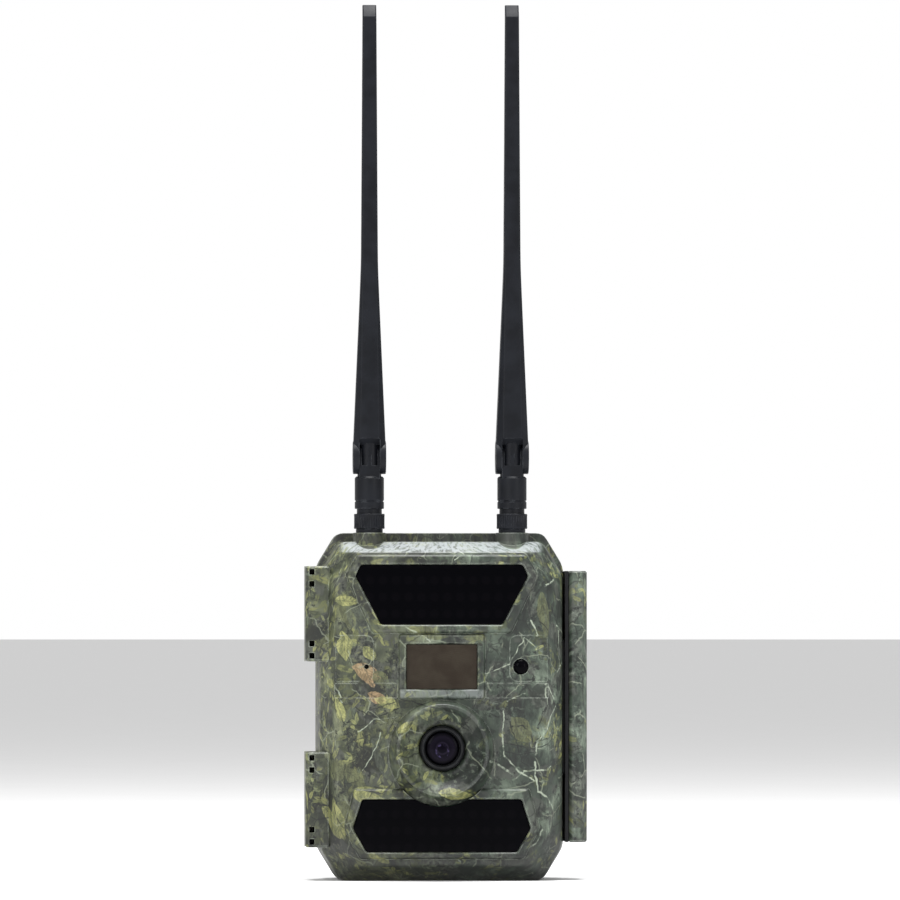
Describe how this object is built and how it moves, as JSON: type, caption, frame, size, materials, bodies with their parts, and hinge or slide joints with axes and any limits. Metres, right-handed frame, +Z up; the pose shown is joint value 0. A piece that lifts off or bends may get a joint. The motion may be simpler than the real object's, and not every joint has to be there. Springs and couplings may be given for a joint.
{
  "type": "trail camera",
  "caption": "Camouflaged trail camera: clamshell case on tree brackets, lens ring, motion sensor, infrared windows, full-height latch and folding antennas.",
  "frame": {"origin": "bottom centre of the whole camera's bounding box, on the surface that it stands on", "axes": "+Z up along the antennas, -Y the way the lens looks, +X to the right as seen from the front (latch side)"},
  "size_m": [0.1186, 0.078, 0.3682],
  "materials": {
    "camo_case": "camouflage print, satin, fine moulded grain",
    "camo_front": "camouflage print, satin, fine moulded grain",
    "black_plastic": "black, moulded, satin",
    "antenna_black": "black, satin, slightly bluish",
    "dark_window": "near black, polished, passes infrared",
    "pir_film": "dark brown, lightly ribbed",
    "lens_glass": "coated, dark violet reflection",
    "steel": "plain, turned",
    "brass": "turned, knurled",
    "circuit_board": "solder mask, green",
    "cell_wrap": null,
    "screen": "dark glass over a display",
    "rubber": "matt black",
    "grey_key": "soft touch grey",
    "card": "dark blue, matt"
  },
  "bodies": {
    "back_case": {"back_case": "camo_case", "battery_tray": "black_plastic", "case_gasket": "rubber", "contact_plate_lower": "steel", "contact_plate_upper": "steel", "hinge_pin_lower": "steel", "hinge_pin_upper": "steel", "latch_pin": "steel", "tree_bracket_lower": "black_plastic", "tree_bracket_upper": "black_plastic", "tripod_insert": "brass", "power_jack": "black_plastic", "lower_cell_1": "cell_wrap", "lower_cell_2": "cell_wrap", "lower_cell_3": "cell_wrap", "lower_cell_4": "cell_wrap", "upper_cell_1": "cell_wrap", "upper_cell_2": "cell_wrap", "upper_cell_3": "cell_wrap", "upper_cell_4": "cell_wrap"},
    "latch": {"latch_cover": "camo_case", "latch_hook": "black_plastic"},
    "front_housing": {"front_shell": "camo_front", "inner_panel": "black_plastic", "upper_ir_window": "dark_window", "lower_ir_window": "dark_window", "led_board_upper": "circuit_board", "led_board_lower": "circuit_board", "pir_lens": "pir_film", "pir_sensor": "steel", "light_sensor": "dark_window", "lens_ring": "camo_front", "lens_barrel": "black_plastic", "lens_glass": "lens_glass", "image_sensor_module": "black_plastic", "main_board": "circuit_board", "screen_module": "screen", "panel_screw_1": "steel", "panel_screw_2": "steel", "panel_screw_3": "steel", "panel_screw_4": "steel", "left_antenna_connector": "antenna_black", "right_antenna_connector": "antenna_black"},
    "port_cover": {"port_cover": "rubber"},
    "key_menu": {"key_menu": "grey_key"},
    "key_up": {"key_up": "grey_key"},
    "key_down": {"key_down": "grey_key"},
    "key_ok": {"key_ok": "grey_key"},
    "power_switch": {"power_switch": "grey_key"},
    "sd_card": {"sd_card": "card"},
    "sim_card": {"sim_card": "card"},
    "left_nut": {"left_antenna_nut": "antenna_black"},
    "left_swivel": {"left_antenna_swivel": "antenna_black"},
    "left_blade": {"left_antenna_blade": "antenna_black", "left_antenna_pin": "steel"},
    "right_nut": {"right_antenna_nut": "antenna_black"},
    "right_swivel": {"right_antenna_swivel": "antenna_black"},
    "right_blade": {"right_antenna_blade": "antenna_black", "right_antenna_pin": "steel"}
  },
  "joints": [
    {"name": "front_hinge", "type": "hinge", "parent": "back_case", "child": "front_housing", "pos_m": [-0.0566, 0.004, 0.073], "axis": [0, 0, -1], "range_deg": [0, 110]},
    {"name": "latch_pivot", "type": "hinge", "parent": "back_case", "child": "latch", "pos_m": [0.0553, 0.018, 0.073], "axis": [0, 0, 1], "range_deg": [0, 100]},
    {"name": "port_cover_flap", "type": "hinge", "parent": "front_housing", "child": "port_cover", "pos_m": [0.0102, -0.012, 0.00125], "axis": [-1, 0, 0], "range_deg": [0, 90]},
    {"name": "key_menu_press", "type": "slide", "parent": "front_housing", "child": "key_menu", "axis": [0, -1, 0], "range_m": [0, 0.0008], "stiffness_N_per_m": 400},
    {"name": "key_up_press", "type": "slide", "parent": "front_housing", "child": "key_up", "axis": [0, -1, 0], "range_m": [0, 0.0008], "stiffness_N_per_m": 400},
    {"name": "key_down_press", "type": "slide", "parent": "front_housing", "child": "key_down", "axis": [0, -1, 0], "range_m": [0, 0.0008], "stiffness_N_per_m": 400},
    {"name": "key_ok_press", "type": "slide", "parent": "front_housing", "child": "key_ok", "axis": [0, -1, 0], "range_m": [0, 0.0008], "stiffness_N_per_m": 400},
    {"name": "power_switch_slide", "type": "slide", "parent": "front_housing", "child": "power_switch", "axis": [1, 0, 0], "range_m": [0, 0.007]},
    {"name": "sd_card_slide", "type": "slide", "parent": "front_housing", "child": "sd_card", "axis": [1, 0, 0], "range_m": [0, 0.02]},
    {"name": "sim_card_slide", "type": "slide", "parent": "front_housing", "child": "sim_card", "axis": [1, 0, 0], "range_m": [0, 0.01]},
    {"name": "left_nut_turn", "type": "hinge", "parent": "front_housing", "child": "left_nut", "pos_m": [-0.0323, -0.0134, 0.1477], "axis": [0, 0, 1], "continuous": true},
    {"name": "left_antenna_turn", "type": "hinge", "parent": "front_housing", "child": "left_swivel", "pos_m": [-0.0323, -0.0134, 0.1543], "axis": [0, 0, 1], "continuous": true},
    {"name": "left_antenna_fold", "type": "hinge", "parent": "left_swivel", "child": "left_blade", "pos_m": [-0.0323, -0.0134, 0.1777], "axis": [1, 0, 0], "range_deg": [0, 90]},
    {"name": "right_nut_turn", "type": "hinge", "parent": "front_housing", "child": "right_nut", "pos_m": [0.0277, -0.0134, 0.1477], "axis": [0, 0, 1], "continuous": true},
    {"name": "right_antenna_turn", "type": "hinge", "parent": "front_housing", "child": "right_swivel", "pos_m": [0.0277, -0.0134, 0.1543], "axis": [0, 0, 1], "continuous": true},
    {"name": "right_antenna_fold", "type": "hinge", "parent": "right_swivel", "child": "right_blade", "pos_m": [0.0277, -0.0134, 0.1777], "axis": [1, 0, 0], "range_deg": [0, 90]}
  ]
}
